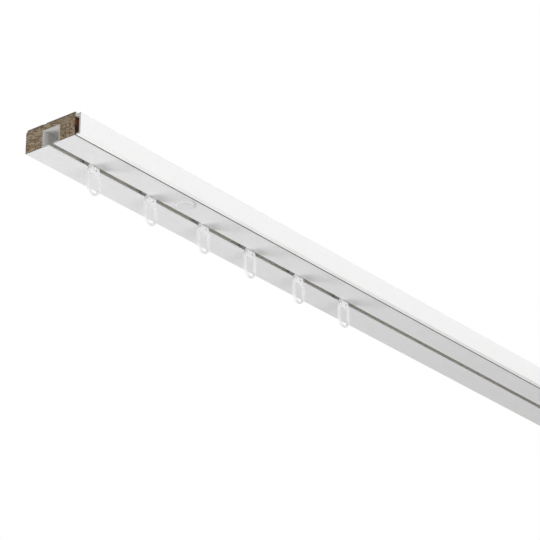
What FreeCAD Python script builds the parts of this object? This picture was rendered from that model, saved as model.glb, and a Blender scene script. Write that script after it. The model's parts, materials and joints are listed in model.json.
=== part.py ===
"""Ceiling curtain track with one run: a chipboard board in white foil with a fascia and six rollers.

Row frame, millimetres: +X along the track away from its near end, +Y towards the back, +Z up.
The origin is the middle of the top face, the one that lies against the ceiling.
"""

import FreeCAD, Part
import Sketcher
import math
import os
import re

# Driving dimensions: name, value and what it measures
SIZES = (
    ("track_length", 1200.0, "whole track, end to end"),
    ("board_depth", 45.0, "board with its foil, front to back"),
    ("board_height", 18.0, "board with foil and backing, underside to ceiling"),
    ("foil_thickness", 0.3, "white foil"),
    ("foil_radius", 0.8, "foil where it turns up the back edge"),
    ("backing_thickness", 0.7, "dark backing sheet on the ceiling side"),
    ("backing_setback", 1.6, "from the back face to the backing, where that chamfer ends"),
    ("back_chamfer_height", 2.4, "from the ceiling to the foil's end, where a chamfer begins"),
    ("nick_from_back", 15.4, "chip out of the backing at the sawn near end"),
    ("nick_width", 3.6, "the same chip, along Y"),
    ("nick_deepest", 1.4, "from the chip's back corner to its deepest point, along Y"),
    ("nick_reach", 4.0, "the same chip, along X"),
    ("channel_from_front", 21.6, "from the board's front edge to the middle of the slot"),
    ("channel_width", 16.0, "running channel outside"),
    ("channel_height", 13.2, "running channel outside, from the underside"),
    ("channel_wall", 0.9, "running channel's sides and roof"),
    ("channel_corner", 0.6, "running channel's inner corners"),
    ("lip_thickness", 1.0, "the two lips that carry the rollers"),
    ("lip_edge_radius", 0.3, "lips where they face the slot"),
    ("slot_width", 4.3, "gap between the lips"),
    ("fascia_reach", 5.0, "from the board's front edge to the fascia's face"),
    ("fascia_top_gap", 1.8, "from the ceiling to the top of the fascia"),
    ("fascia_wall", 1.2, "fascia's face wall"),
    ("fascia_web", 1.3, "fascia's upper web, which stands it off the board"),
    ("fascia_web_drop", 0.5, "from the top of the fascia to the web"),
    ("fascia_flange", 0.8, "fascia's glued flange on the board's front edge"),
    ("fascia_flange_gap", 0.4, "from the ceiling to the top of that flange"),
    ("fascia_lip", 1.0, "fascia's lower lip"),
    ("fascia_lip_gap", 1.1, "shadow gap between the lower lip and the board"),
    ("fascia_edge_radius", 0.4, "fascia's long outer edges"),
    ("hole_from_end", 125.0, "from each end of the track to its screw hole"),
    ("hole_from_front", 9.0, "from the board's front edge to the screw holes"),
    ("hole_diameter", 5.0, "screw hole"),
    ("head_bore_diameter", 8.0, "wider bore that takes the screw's head"),
    ("head_bore_depth", 6.0, "the same bore, from the underside"),
    ("cap_diameter", 13.2, "cover cap's head"),
    ("cap_height", 1.3, "cover cap's head, below the underside"),
    ("cap_edge", 0.7, "bevel round the cover cap's rim"),
    ("cap_fit", 0.05, "clearance of the cap's stem in the bore, on the radius"),
    ("cap_stem_length", 3.6, "cover cap's stem"),
    ("wheel_diameter", 9.6, "roller's wheel"),
    ("wheel_width", 3.2, "roller's wheel"),
    ("wheel_lift", 0.1, "running clearance under the wheels"),
    ("axle_diameter", 2.0, "roller's axle pin"),
    ("axle_fit", 0.05, "running clearance of the axle pin, on the radius"),
    ("axle_head_diameter", 3.4, "axle pin's heads"),
    ("axle_head_thickness", 0.6, "the same heads"),
    ("side_play", 0.25, "play beside each wheel"),
    ("boss_diameter", 4.6, "carrier's boss round the axle pin"),
    ("boss_width", 4.1, "the same boss, along Y, which keeps the wheels off the slot"),
    ("neck_length", 8.4, "carrier's neck in the slot, along X"),
    ("neck_thickness", 3.0, "the same neck, along Y"),
    ("shoulder_gap", 0.8, "from the underside to the top of the shoulders"),
    ("shoulder_slope", 2.3, "height that the shoulders fall over"),
    ("shoulder_radius", 1.2, "shoulders' rounded corners"),
    ("loop_width", 12.8, "carrier's loop outside, along X"),
    ("loop_drop", 20.9, "from the underside to the bottom of the loop"),
    ("loop_bar", 1.5, "bars of the loop"),
    ("loop_thickness", 2.0, "the loop, along Y"),
    ("window_top", 6.2, "from the underside to the top of the loop's window"),
    ("crossbar_height", 2.6, "thick crossbar above the window"),
    ("crossbar_thickness", 3.0, "the same crossbar, along Y"),
    ("eye_diameter", 1.2, "small hole beside the neck"),
    ("eye_offset", 0.9, "the same hole, from the middle of the loop"),
    ("eye_drop", 2.5, "the same hole, below the underside"),
)

# Where the rollers stand along the track, measured from its near end to the middle of each loop
ROLLERS = (
    ("roller_1_from_end", 43.3),
    ("roller_2_from_end", 102.8),
    ("roller_3_from_end", 160.5),
    ("roller_4_from_end", 213.5),
    ("roller_5_from_end", 271.0),
    ("roller_6_from_end", 326.8),
)

# The screw holes, from the near end to the far one
HOLES = ("near", "middle", "far")

# Levels and places that follow from the driving dimensions: name and formula
DERIVED = (
    ("front", "-board_depth / 2"),
    ("back", "board_depth / 2"),
    ("near_end", "-track_length / 2"),
    ("underside", "-board_height"),
    ("foil_top", "underside + foil_thickness"),
    ("backing_underside", "-backing_thickness"),
    ("foil_end_level", "-back_chamfer_height"),
    ("slot_middle", "front + channel_from_front"),
    ("nick_back", "back - nick_from_back"),
    ("channel_front", "slot_middle - channel_width / 2"),
    ("channel_back", "slot_middle + channel_width / 2"),
    ("channel_top", "underside + channel_height"),
    ("cavity_front", "channel_front + channel_wall"),
    ("cavity_back", "channel_back - channel_wall"),
    ("cavity_top", "channel_top - channel_wall"),
    ("lip_top", "underside + lip_thickness"),
    ("slot_front", "slot_middle - slot_width / 2"),
    ("slot_back", "slot_middle + slot_width / 2"),
    ("fascia_face", "front - fascia_reach"),
    ("fascia_inside", "fascia_face + fascia_wall"),
    ("fascia_top", "-fascia_top_gap"),
    ("web_top", "fascia_top - fascia_web_drop"),
    ("web_underside", "web_top - fascia_web"),
    ("flange_front", "front - fascia_flange"),
    ("flange_top", "-fascia_flange_gap"),
    ("lower_lip_edge", "front - fascia_lip_gap"),
    ("lower_lip_top", "underside + fascia_lip"),
    ("hole_line", "front + hole_from_front"),
    ("first_hole", "near_end + hole_from_end"),
    ("hole_spacing", "track_length / 2 - hole_from_end"),
    ("wheel_radius", "wheel_diameter / 2"),
    ("axle_level", "lip_top + wheel_lift + wheel_radius"),
    ("bore_radius", "axle_diameter / 2 + axle_fit"),
    ("wheel_start", "boss_width / 2 + side_play"),
    ("wheel_end", "wheel_start + wheel_width"),
    ("axle_head_start", "wheel_end + side_play"),
    ("axle_head_end", "axle_head_start + axle_head_thickness"),
    ("underside_drop", "underside - axle_level"),
)

# Points closer than this, in millimetres, are the same place
SAME_PLACE = 0.01

ALONG_TRACK = FreeCAD.Vector(1, 0, 0)
ACROSS_TRACK = FreeCAD.Vector(0, 1, 0)
UPWARDS = FreeCAD.Vector(0, 0, 1)

# The sketcher's numbers for the points of a line, an arc or a circle
START, END, CENTRE = 1, 2, 3


def make_sheet(doc):
    """Fills the spreadsheet that drives every size."""
    sheet = doc.addObject("Spreadsheet::Sheet", "Sizes")
    row = 0
    for name, value, meaning in SIZES + tuple((n, v, "roller's place") for n, v in ROLLERS):
        row += 1
        sheet.set(f"A{row}", name)
        sheet.set(f"B{row}", str(value))
        sheet.set(f"C{row}", meaning)
        sheet.setAlias(f"B{row}", name)
    for name, formula in DERIVED:
        row += 1
        sheet.set(f"A{row}", name)
        sheet.set(f"B{row}", "=" + formula)
        sheet.setAlias(f"B{row}", name)
    doc.recompute()
    return sheet


def bound(formula):
    """Writes each name of the sheet in a formula as a reference to its cell."""
    return re.sub(r"[a-z]\w*", lambda name: "Sizes." + name.group(), formula)


def number(sheet, formula):
    """The present value of a formula."""
    return float(sheet.evalExpression(formula))


def make_body(doc, label):
    """A new body, whose label names its file."""
    body = doc.addObject("PartDesign::Body", label)
    body.Label = label
    return body


def place_body(body, along="0", across="0", height="0", turn=0.0):
    """Places a body from the sheet: the rollers and caps are drawn round their own axes."""
    body.Placement = FreeCAD.Placement(FreeCAD.Vector(), FreeCAD.Rotation(UPWARDS, turn))
    body.setExpression(".Placement.Base.x", bound(along))
    body.setExpression(".Placement.Base.y", bound(across))
    body.setExpression(".Placement.Base.z", bound(height))


def make_sketch(body, name, plane, height=None):
    """A sketch on one of the body's own origin planes, or that far from it."""
    sketch = body.newObject("Sketcher::SketchObject", name)
    planes = {feature.Role: feature for feature in body.Origin.OriginFeatures}
    sketch.AttachmentSupport = [(planes[plane], "")]
    sketch.MapMode = "FlatFace"
    if height:
        sketch.setExpression(".AttachmentOffset.Base.z", bound(height))
    return sketch


def bind(sketch, constraint, name, formula):
    """Adds a constraint whose value follows the sheet."""
    index = sketch.addConstraint(constraint)
    sketch.renameConstraint(index, name)
    sketch.setExpression("Constraints." + name, bound(formula))


def draw_outline(sketch, sheet, corners, arcs=None):
    """Draws a closed outline.

    Each corner is a pair of formulas. arcs names the sides that are arcs, as the side's number with
    the formulas of its centre; each is at most half a circle.
    """
    arcs = arcs or {}
    points = [
        FreeCAD.Vector(number(sheet, across), number(sheet, up), 0) for across, up in corners
    ]
    sides = []
    for side, start in enumerate(points):
        end = points[(side + 1) % len(points)]
        if side in arcs:
            centre = FreeCAD.Vector(*(number(sheet, formula) for formula in arcs[side]), 0)
            sides.append(draw_arc(sketch, centre, start, end))
        else:
            index = sketch.addGeometry(Part.LineSegment(start, end), False)
            sides.append((index, START, END))
    for side, (index, _, last) in enumerate(sides):
        following, first, _ = sides[(side + 1) % len(sides)]
        sketch.addConstraint(Sketcher.Constraint("Coincident", index, last, following, first))
    for side, (index, first, _) in enumerate(sides):
        at = (points[side].x, points[side].y)
        bind_point(sketch, index, first, at, corners[side], f"corner_{index}")
        if side in arcs:
            level = arcs[side][1]
            value = number(sheet, level)
            bind_level(sketch, "DistanceY", index, CENTRE, value, level, f"centre_{index}")
    return sketch


def draw_arc(sketch, centre, start, end):
    """Draws an arc of at most half a circle, and says which of its ends lies at the start."""
    first, last = (math.atan2(spot.y - centre.y, spot.x - centre.x) for spot in (start, end))
    anticlockwise = (last - first) % (2 * math.pi) < math.pi + SAME_PLACE
    if not anticlockwise:
        first, last = last, first
    circle = Part.Circle(centre, UPWARDS, (start - centre).Length)
    index = sketch.addGeometry(Part.ArcOfCircle(circle, first, last), False)
    return (index, START, END) if anticlockwise else (index, END, START)


def bind_point(sketch, index, position, values, formulas, tag):
    """Ties a point of a side to the sketch's axes."""
    bind_level(sketch, "DistanceX", index, position, values[0], formulas[0], tag + "_x")
    bind_level(sketch, "DistanceY", index, position, values[1], formulas[1], tag + "_y")


def bind_level(sketch, kind, index, position, value, formula, tag):
    """Ties one coordinate of a point, with a positive distance on either side of the axis."""
    if abs(value) < SAME_PLACE:
        axis = -2 if kind == "DistanceX" else -1
        sketch.addConstraint(Sketcher.Constraint("PointOnObject", index, position, axis))
    elif value > 0:
        constraint = Sketcher.Constraint(kind, -1, 1, index, position, value)
        bind(sketch, constraint, tag, formula)
    else:
        constraint = Sketcher.Constraint(kind, index, position, -1, 1, -value)
        bind(sketch, constraint, tag, f"-( {formula} )")


def draw_circle(sketch, sheet, centre, diameter):
    """Draws a circle at a pair of formulas."""
    at = FreeCAD.Vector(number(sheet, centre[0]), number(sheet, centre[1]), 0)
    size = number(sheet, diameter)
    index = sketch.addGeometry(Part.Circle(at, UPWARDS, size / 2), False)
    bind(sketch, Sketcher.Constraint("Diameter", index, size), f"diameter_{index}", diameter)
    bind_point(sketch, index, CENTRE, (at.x, at.y), centre, f"centre_{index}")
    return sketch


def pad(body, name, sketch, length, both_ways=True):
    """Pads a sketch by a length from the sheet, half to each side or all along its normal."""
    feature = body.newObject("PartDesign::Pad", name)
    feature.Profile = sketch
    feature.SideType = "Symmetric" if both_ways else "One side"
    feature.setExpression("Length", bound(length))
    return feature


def pocket(body, name, sketch, length=None, both_ways=False, backwards=False):
    """Cuts a sketch away by a length from the sheet, or all the way through."""
    feature = body.newObject("PartDesign::Pocket", name)
    feature.Profile = sketch
    if length:
        feature.setExpression("Length", bound(length))
    else:
        feature.Type = "ThroughAll"
    feature.SideType = "Symmetric" if both_ways else "One side"
    feature.Reversed = backwards
    return feature


def revolve(body, name, sketch, axis):
    """Turns a profile all the way round one of its sketch's axes."""
    feature = body.newObject("PartDesign::Revolution", name)
    feature.Profile = sketch
    feature.ReferenceAxis = (sketch, [axis])
    feature.Angle = 360
    return feature


def round_edges(doc, body, name, size, wanted):
    """Rounds the edges of the body's present shape that wanted picks."""
    doc.recompute()
    tip = body.Tip
    edges = [f"Edge{n}" for n, edge in enumerate(tip.Shape.Edges, 1) if wanted(edge)]
    fillet = body.newObject("PartDesign::Fillet", name)
    fillet.Base = (tip, edges)
    fillet.setExpression("Radius", bound(size))
    return fillet


def runs_along(edge, direction):
    """Whether a straight edge lies along a direction."""
    if not isinstance(edge.Curve, Part.Line):
        return False
    return edge.Curve.Direction.cross(direction).Length < SAME_PLACE


def stands_at(edge, places):
    """Whether the middle of an edge is at one of the places, given as (y, z)."""
    middle = edge.CenterOfMass
    return any(
        abs(middle.y - y) < SAME_PLACE and abs(middle.z - z) < SAME_PLACE for y, z in places
    )


def drill_row(doc, body, sheet, holes):
    """Cuts the row of screw holes: each hole is a name, a diameter, a start level and a depth."""
    cuts = []
    for name, diameter, level, depth in holes:
        sketch = make_sketch(body, name + "_sketch", "XY_Plane", level)
        draw_circle(sketch, sheet, ("first_hole", "hole_line"), diameter)
        cuts.append(pocket(body, name, sketch, depth, backwards=True))
    doc.recompute()
    row = body.newObject("PartDesign::LinearPattern", "hole_row")
    row.Originals = cuts
    row.Direction = (cuts[0].Profile[0], ["H_Axis"])
    row.Mode = "Spacing"
    row.setExpression("Offset", bound("hole_spacing"))
    row.Occurrences = len(HOLES)
    body.Tip = row
    return row


def chipboard_core(doc, sheet):
    """The chipboard: a board with a groove for the channel and stepped screw holes."""
    body = make_body(doc, "chipboard_core")
    inner_back = "back - foil_thickness"
    outline = make_sketch(body, "board_section", "YZ_Plane")
    draw_outline(
        outline,
        sheet,
        [
            ("front", "foil_top"),
            ("channel_front", "foil_top"),
            ("channel_front", "channel_top"),
            ("channel_back", "channel_top"),
            ("channel_back", "foil_top"),
            ("back - foil_radius", "foil_top"),
            (inner_back, "underside + foil_radius"),
            (inner_back, "foil_end_level"),
            ("back - backing_setback", "backing_underside"),
            ("front", "backing_underside"),
        ],
        {5: ("back - foil_radius", "underside + foil_radius")},
    )
    pad(body, "board", outline, "track_length")
    drill_row(
        doc,
        body,
        sheet,
        (
            ("screw_hole", "hole_diameter", "underside", "board_height"),
            ("head_bore", "head_bore_diameter", "underside", "head_bore_depth"),
        ),
    )
    return body


def top_backing(doc, sheet):
    """The dark backing sheet on the ceiling side, with a chip out of its sawn near end."""
    body = make_body(doc, "top_backing")
    outline = make_sketch(body, "backing_section", "YZ_Plane")
    draw_outline(
        outline,
        sheet,
        [
            ("front", "backing_underside"),
            ("back - backing_setback", "backing_underside"),
            ("back - backing_setback", "0"),
            ("front", "0"),
        ],
    )
    pad(body, "backing", outline, "track_length")
    nick = make_sketch(body, "nick_outline", "XY_Plane")
    draw_outline(
        nick,
        sheet,
        [
            ("near_end", "nick_back - nick_width"),
            ("near_end + nick_reach", "nick_back - nick_deepest"),
            ("near_end", "nick_back"),
        ],
    )
    pocket(body, "nick", nick, "backing_thickness", both_ways=True)
    drill_row(
        doc,
        body,
        sheet,
        (("screw_hole", "hole_diameter", "underside", "board_height"),),
    )
    return body


def foil_front_strip(doc, sheet):
    """The white foil between the board's front edge and the channel."""
    body = make_body(doc, "foil_front_strip")
    outline = make_sketch(body, "strip_section", "YZ_Plane")
    draw_outline(
        outline,
        sheet,
        [
            ("front", "underside"),
            ("channel_front", "underside"),
            ("channel_front", "foil_top"),
            ("front", "foil_top"),
        ],
    )
    pad(body, "strip", outline, "track_length")
    drill_row(
        doc,
        body,
        sheet,
        (("head_bore", "head_bore_diameter", "underside", "head_bore_depth"),),
    )
    return body


def foil_back_wrap(doc, sheet):
    """The white foil behind the channel, which turns up the board's back edge."""
    body = make_body(doc, "foil_back_wrap")
    inner_back = "back - foil_thickness"
    turn = ("back - foil_radius", "underside + foil_radius")
    outline = make_sketch(body, "wrap_section", "YZ_Plane")
    draw_outline(
        outline,
        sheet,
        [
            ("channel_back", "underside"),
            ("back - foil_radius", "underside"),
            ("back", "underside + foil_radius"),
            ("back", "foil_end_level"),
            (inner_back, "foil_end_level"),
            (inner_back, "underside + foil_radius"),
            ("back - foil_radius", "foil_top"),
            ("channel_back", "foil_top"),
        ],
        {1: turn, 5: turn},
    )
    pad(body, "wrap", outline, "track_length")
    return body


def running_channel(doc, sheet):
    """The white channel that is pressed into the board's groove and carries the rollers."""
    body = make_body(doc, "running_channel")
    outline = make_sketch(body, "channel_section", "YZ_Plane")
    draw_outline(
        outline,
        sheet,
        [
            ("channel_front", "underside"),
            ("slot_front", "underside"),
            ("slot_front", "lip_top"),
            ("cavity_front", "lip_top"),
            ("cavity_front", "cavity_top"),
            ("cavity_back", "cavity_top"),
            ("cavity_back", "lip_top"),
            ("slot_back", "lip_top"),
            ("slot_back", "underside"),
            ("channel_back", "underside"),
            ("channel_back", "channel_top"),
            ("channel_front", "channel_top"),
        ],
    )
    pad(body, "channel", outline, "track_length")
    inner_corners = [
        (number(sheet, y), number(sheet, "cavity_top")) for y in ("cavity_front", "cavity_back")
    ]
    lip_edges = [
        (number(sheet, y), number(sheet, z))
        for y in ("slot_front", "slot_back")
        for z in ("underside", "lip_top")
    ]
    round_edges(
        doc,
        body,
        "inner_corners",
        "channel_corner",
        lambda edge: runs_along(edge, ALONG_TRACK) and stands_at(edge, inner_corners),
    )
    round_edges(
        doc,
        body,
        "lip_edges",
        "lip_edge_radius",
        lambda edge: runs_along(edge, ALONG_TRACK) and stands_at(edge, lip_edges),
    )
    return body


def fascia(doc, sheet):
    """The white fascia: a face wall, a lower lip, and an upper web with a flange on the board."""
    body = make_body(doc, "fascia")
    outline = make_sketch(body, "fascia_section", "YZ_Plane")
    draw_outline(
        outline,
        sheet,
        [
            ("fascia_face", "underside"),
            ("lower_lip_edge", "underside"),
            ("lower_lip_edge", "lower_lip_top"),
            ("fascia_inside", "lower_lip_top"),
            ("fascia_inside", "web_underside"),
            ("front", "web_underside"),
            ("front", "flange_top"),
            ("flange_front", "flange_top"),
            ("flange_front", "web_top"),
            ("fascia_inside", "web_top"),
            ("fascia_inside", "fascia_top"),
            ("fascia_face", "fascia_top"),
        ],
    )
    pad(body, "profile", outline, "track_length")
    outer_edges = [
        (number(sheet, "fascia_face"), number(sheet, "underside")),
        (number(sheet, "fascia_face"), number(sheet, "fascia_top")),
        (number(sheet, "lower_lip_edge"), number(sheet, "underside")),
    ]
    round_edges(
        doc,
        body,
        "outer_edges",
        "fascia_edge_radius",
        lambda edge: runs_along(edge, ALONG_TRACK) and stands_at(edge, outer_edges),
    )
    return body


def cover_cap(doc, sheet, label, along):
    """A cover cap: a flat bevelled head under the board and a stem in the bore of the screw's head."""
    body = make_body(doc, label)
    outline = make_sketch(body, "cap_profile", "XZ_Plane")
    stem = "head_bore_diameter / 2 - cap_fit"
    rim = "cap_diameter / 2"
    draw_outline(
        outline,
        sheet,
        [
            ("0", "-cap_height"),
            (rim + " - cap_edge", "-cap_height"),
            (rim, "-cap_height + cap_edge"),
            (rim, "0"),
            (stem, "0"),
            (stem, "cap_stem_length"),
            ("0", "cap_stem_length"),
        ],
    )
    revolve(body, "cap", outline, "V_Axis")
    place_body(body, along, "hole_line", "underside")
    return body


def axle_pin(doc, sheet, label, along):
    """A roller's axle pin, headed at both ends."""
    body = make_body(doc, label)
    outline = make_sketch(body, "pin_profile", "YZ_Plane")
    shaft, head = "axle_diameter / 2", "axle_head_diameter / 2"
    draw_outline(
        outline,
        sheet,
        [
            ("-axle_head_end", "0"),
            ("axle_head_end", "0"),
            ("axle_head_end", head),
            ("axle_head_start", head),
            ("axle_head_start", shaft),
            ("-axle_head_start", shaft),
            ("-axle_head_start", head),
            ("-axle_head_end", head),
        ],
    )
    revolve(body, "pin", outline, "H_Axis")
    place_body(body, along, "slot_middle", "axle_level")
    return body


def wheel(doc, sheet, label, along, turn):
    """A roller's wheel: a plain disc that turns on the pin, beside the carrier's boss."""
    body = make_body(doc, label)
    outline = make_sketch(body, "wheel_profile", "YZ_Plane")
    draw_outline(
        outline,
        sheet,
        [
            ("wheel_start", "bore_radius"),
            ("wheel_end", "bore_radius"),
            ("wheel_end", "wheel_radius"),
            ("wheel_start", "wheel_radius"),
        ],
    )
    revolve(body, "wheel", outline, "H_Axis")
    place_body(body, along, "slot_middle", "axle_level", turn)
    return body


def carrier(doc, sheet, label, along):
    """A roller's moulded carrier: boss, neck, sloped shoulders, crossbar and the loop for a hook."""
    body = make_body(doc, label)
    half, inner_half = "loop_width / 2", "loop_width / 2 - loop_bar"
    top = "underside_drop - shoulder_gap"
    turn_level = "underside_drop - loop_drop + loop_width / 2"
    window_level = "underside_drop - window_top"
    loop = make_sketch(body, "loop_outline", "XZ_Plane")
    draw_outline(
        loop,
        sheet,
        [
            ("-neck_length / 2", top),
            ("-loop_width / 2", top + " - shoulder_slope"),
            ("-loop_width / 2", turn_level),
            (half, turn_level),
            (half, top + " - shoulder_slope"),
            ("neck_length / 2", top),
        ],
        {2: ("0", turn_level)},
    )
    pad(body, "loop", loop, "loop_thickness")
    window = make_sketch(body, "window_outline", "XZ_Plane")
    draw_outline(
        window,
        sheet,
        [
            ("loop_bar - loop_width / 2", window_level),
            ("loop_bar - loop_width / 2", turn_level),
            (inner_half, turn_level),
            (inner_half, window_level),
        ],
        {1: ("0", turn_level)},
    )
    pocket(body, "window", window, "2 * loop_thickness", both_ways=True)
    shoulder_level = number(sheet, f"{top} - shoulder_slope")
    half_width = number(sheet, half)
    round_edges(
        doc,
        body,
        "shoulders",
        "shoulder_radius",
        lambda edge: runs_along(edge, ACROSS_TRACK)
        and abs(edge.CenterOfMass.z - shoulder_level) < SAME_PLACE
        and abs(abs(edge.CenterOfMass.x) - half_width) < SAME_PLACE,
    )
    crossbar = make_sketch(body, "crossbar_outline", "XZ_Plane")
    draw_outline(
        crossbar,
        sheet,
        [
            ("loop_bar / 2 - loop_width / 2", window_level),
            ("loop_width / 2 - loop_bar / 2", window_level),
            ("loop_width / 2 - loop_bar / 2", window_level + " + crossbar_height"),
            ("loop_bar / 2 - loop_width / 2", window_level + " + crossbar_height"),
        ],
    )
    pad(body, "crossbar", crossbar, "crossbar_thickness")
    neck = make_sketch(body, "neck_outline", "XZ_Plane")
    draw_outline(
        neck,
        sheet,
        [
            ("-neck_length / 2", window_level + " + crossbar_height"),
            ("neck_length / 2", window_level + " + crossbar_height"),
            ("neck_length / 2", "0"),
            ("-neck_length / 2", "0"),
        ],
    )
    pad(body, "neck", neck, "neck_thickness")
    boss = make_sketch(body, "boss_outline", "XZ_Plane")
    draw_circle(boss, sheet, ("0", "0"), "boss_diameter")
    pad(body, "boss", boss, "boss_width")
    bore = make_sketch(body, "bore_outline", "XZ_Plane")
    draw_circle(bore, sheet, ("0", "0"), "2 * bore_radius")
    pocket(body, "bore", bore, "2 * boss_width", both_ways=True)
    eye = make_sketch(body, "eye_outline", "XZ_Plane")
    draw_circle(eye, sheet, ("eye_offset", "underside_drop - eye_drop"), "eye_diameter")
    pocket(body, "eye", eye, "2 * neck_thickness", both_ways=True)
    place_body(body, along, "slot_middle", "axle_level")
    return body


def roller(doc, sheet, position, name):
    """One roller: its axle pin, its carrier and its two wheels, which face away from each other."""
    along = "near_end + " + name
    return [
        axle_pin(doc, sheet, f"axle_pin_{position}", along),
        carrier(doc, sheet, f"carrier_{position}", along),
        wheel(doc, sheet, f"wheel_front_{position}", along, 180.0),
        wheel(doc, sheet, f"wheel_back_{position}", along, 0.0),
    ]


def check(doc, bodies):
    """Stops with a plain message if any object failed or any piece has no sound solid."""
    for item in doc.Objects:
        if "Invalid" in item.State or "Error" in item.State:
            raise RuntimeError(f"{item.Label} failed: {item.State}")
    for body in bodies:
        shape = body.Shape
        if shape.isNull() or not shape.isValid() or len(shape.Solids) != 1:
            raise RuntimeError(f"{body.Label} is not one sound solid")


def main():
    """Builds every piece and writes each to its own file."""
    doc = FreeCAD.newDocument("CurtainTrack")
    sheet = make_sheet(doc)
    bodies = [
        chipboard_core(doc, sheet),
        top_backing(doc, sheet),
        foil_front_strip(doc, sheet),
        foil_back_wrap(doc, sheet),
        running_channel(doc, sheet),
        fascia(doc, sheet),
    ]
    for step, place in enumerate(HOLES):
        along = f"first_hole + {step} * hole_spacing"
        bodies.append(cover_cap(doc, sheet, "cover_cap_" + place, along))
    for position, (name, _) in enumerate(ROLLERS, 1):
        bodies += roller(doc, sheet, position, name)
    doc.recompute()
    check(doc, bodies)
    os.makedirs("parts", exist_ok=True)
    for body in bodies:
        body.Shape.exportStep(os.path.join("parts", body.Label + ".step"))
        box = body.Shape.BoundBox
        print(
            f"{body.Label}: {body.Shape.Volume:.1f} mm3, x {box.XMin:.2f} to {box.XMax:.2f}, "
            f"y {box.YMin:.2f} to {box.YMax:.2f}, z {box.ZMin:.2f} to {box.ZMax:.2f}"
        )


main()
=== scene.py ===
"""Dresses a ceiling curtain track: its finishes, sawn ends, moulded rollers and cover caps.

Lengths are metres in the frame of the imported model: +X along the track away from the end where the
rollers stand, +Y to the back and +Z up to the ceiling. New pieces are modelled in millimetres round
their own axes, and each is brought to its place when it is finished.
"""

import json
import logging
import math
from collections.abc import Callable, Mapping, Sequence
from dataclasses import dataclass
from enum import Enum

import bpy
from mathutils import Matrix, Vector


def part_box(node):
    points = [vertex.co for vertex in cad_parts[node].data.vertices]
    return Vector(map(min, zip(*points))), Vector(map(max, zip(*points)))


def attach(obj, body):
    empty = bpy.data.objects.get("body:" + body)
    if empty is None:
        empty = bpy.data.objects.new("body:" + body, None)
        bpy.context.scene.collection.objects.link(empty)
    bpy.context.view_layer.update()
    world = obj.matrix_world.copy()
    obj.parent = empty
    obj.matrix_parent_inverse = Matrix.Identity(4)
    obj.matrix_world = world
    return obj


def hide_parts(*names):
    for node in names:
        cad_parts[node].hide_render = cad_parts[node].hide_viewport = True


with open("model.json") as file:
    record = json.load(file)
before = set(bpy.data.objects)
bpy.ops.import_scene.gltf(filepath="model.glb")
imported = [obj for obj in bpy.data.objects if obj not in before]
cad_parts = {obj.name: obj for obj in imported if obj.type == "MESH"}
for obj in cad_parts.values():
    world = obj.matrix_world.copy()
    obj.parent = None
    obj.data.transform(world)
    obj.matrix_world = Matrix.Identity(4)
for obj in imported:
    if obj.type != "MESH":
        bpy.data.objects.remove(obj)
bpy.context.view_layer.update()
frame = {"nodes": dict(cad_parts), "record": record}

LOG = logging.getLogger("curtain_track")
MM = 0.001

Tree = bpy.types.NodeTree
Node = bpy.types.Node
Socket = bpy.types.NodeSocket
Piece = bpy.types.Object

# Places of the inputs and outputs of a colour Mix node, whose names repeat
MIX_FACTOR, MIX_FIRST, MIX_SECOND, MIX_RESULT = 0, 6, 7, 2

# A face or an edge faces along an axis past this share of its direction
ALONG = 0.9
# Millimetres within which two places are the same, and within which corners are merged
NEARLY = 0.01
WELD = 0.002


def linear(colour: str) -> tuple[float, float, float, float]:
    """Turns a colour into the values that shaders take.

    Args:
        colour: sRGB hex, such as "#e8e8e6".

    Returns:
        Linear red, green and blue, with an alpha of one.
    """
    channels = [int(colour[start:start + 2], 16) / 255 for start in (1, 3, 5)]
    red, green, blue = (
        c / 12.92 if c <= 0.04045 else ((c + 0.055) / 1.055) ** 2.4 for c in channels
    )
    return red, green, blue, 1.0


def add_node(
    tree: Tree,
    kind: str,
    settings: Mapping[str | int, object] | None = None,
    links: Mapping[str | int, Socket] | None = None,
) -> Node:
    """Adds a node with its settings and the links into it.

    Args:
        tree: The node tree that takes it.
        kind: The node's type.
        settings: Properties of the node or values of its inputs, and "stops" for a colour ramp.
        links: For each input, the output that feeds it.

    Returns:
        The new node.
    """
    node = tree.nodes.new(kind)
    for key, value in (settings or {}).items():
        if key == "stops":
            set_stops(node, value)
        elif isinstance(key, str) and hasattr(node, key):
            setattr(node, key, value)
        else:
            node.inputs[key].default_value = value
    for key, source in (links or {}).items():
        tree.links.new(source, node.inputs[key])
    return node


def set_stops(ramp: Node, stops: Sequence[tuple[float, str]]) -> None:
    """Sets a colour ramp.

    Args:
        ramp: The Color Ramp node.
        stops: Each stop's place from 0 to 1 and its hex colour.
    """
    elements = ramp.color_ramp.elements
    while len(elements) < len(stops):
        elements.new(1.0)
    for element, (place, colour) in zip(elements, stops):
        element.position = place
        element.color = linear(colour)


def pattern_space(tree: Tree, grain: Sequence[float]) -> Socket:
    """Gives object coordinates in which one unit is one grain of a pattern.

    Args:
        tree: The node tree.
        grain: The grain's size along X, Y and Z in millimetres.

    Returns:
        The coordinates.
    """
    place = add_node(tree, "ShaderNodeTexCoord")
    scale = [1 / (size * MM) for size in grain]
    mapping = add_node(
        tree, "ShaderNodeMapping", {"Scale": scale}, {"Vector": place.outputs["Object"]}
    )
    return mapping.outputs["Vector"]


def relief(
    tree: Tree,
    shader: Node,
    height: Socket,
    depth: float,
    below: Socket | None = None,
) -> Socket:
    """Gives a shader a surface relief.

    Args:
        tree: The node tree.
        shader: The shader that shows it.
        height: The relief from 0 to 1.
        depth: Its whole depth in millimetres.
        below: A coarser relief that this one lies on.

    Returns:
        The relief's normals, for a finer one to lie on.
    """
    links = {"Height": height}
    if below:
        links["Normal"] = below
    bump = add_node(tree, "ShaderNodeBump", {"Strength": 1.0, "Distance": depth * MM}, links)
    tree.links.new(bump.outputs["Normal"], shader.inputs["Normal"])
    return bump.outputs["Normal"]


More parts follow.
